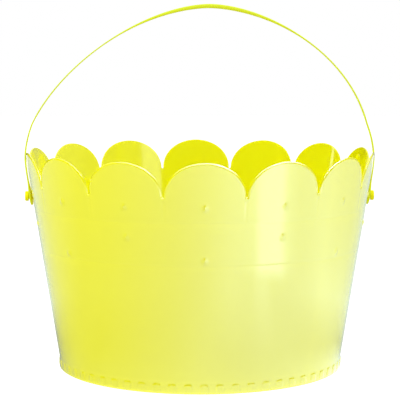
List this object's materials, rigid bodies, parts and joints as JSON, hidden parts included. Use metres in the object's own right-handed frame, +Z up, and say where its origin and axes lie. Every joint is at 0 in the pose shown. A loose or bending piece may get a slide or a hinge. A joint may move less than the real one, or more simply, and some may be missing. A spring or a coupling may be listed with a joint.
{
  "type": "easter basket",
  "caption": "Round moulded plastic pail with a rim of rounded petals and a flexible strap handle that swings on push-in studs; holds eggs, sweets and small gifts.",
  "frame": {"origin": "centre of the foot ring, on the surface that the pail stands on", "axes": "+Z up through the pail's middle; X along the handle's pivot axis, from the left stud to the right stud; the camera side of the pail is -Y"},
  "size_m": [0.2554, 0.254, 0.263],
  "materials": {
    "pail_plastic": "glossy moulded yellow polypropylene that lets a little light through",
    "handle_plastic": "glossy moulded yellow polypropylene, thin and flexible",
    "stud_plastic": "glossy moulded deep yellow plastic"
  },
  "bodies": {
    "pail": {"pail_shell": "pail_plastic", "left_stud": "stud_plastic", "right_stud": "stud_plastic"},
    "handle": {"strap_handle": "handle_plastic"}
  },
  "joints": [
    {"name": "handle_swing", "type": "hinge", "parent": "pail", "child": "handle", "pos_m": [0, 0, 0.124], "axis": [1, 0, 0], "range_deg": [-62, 62]}
  ]
}
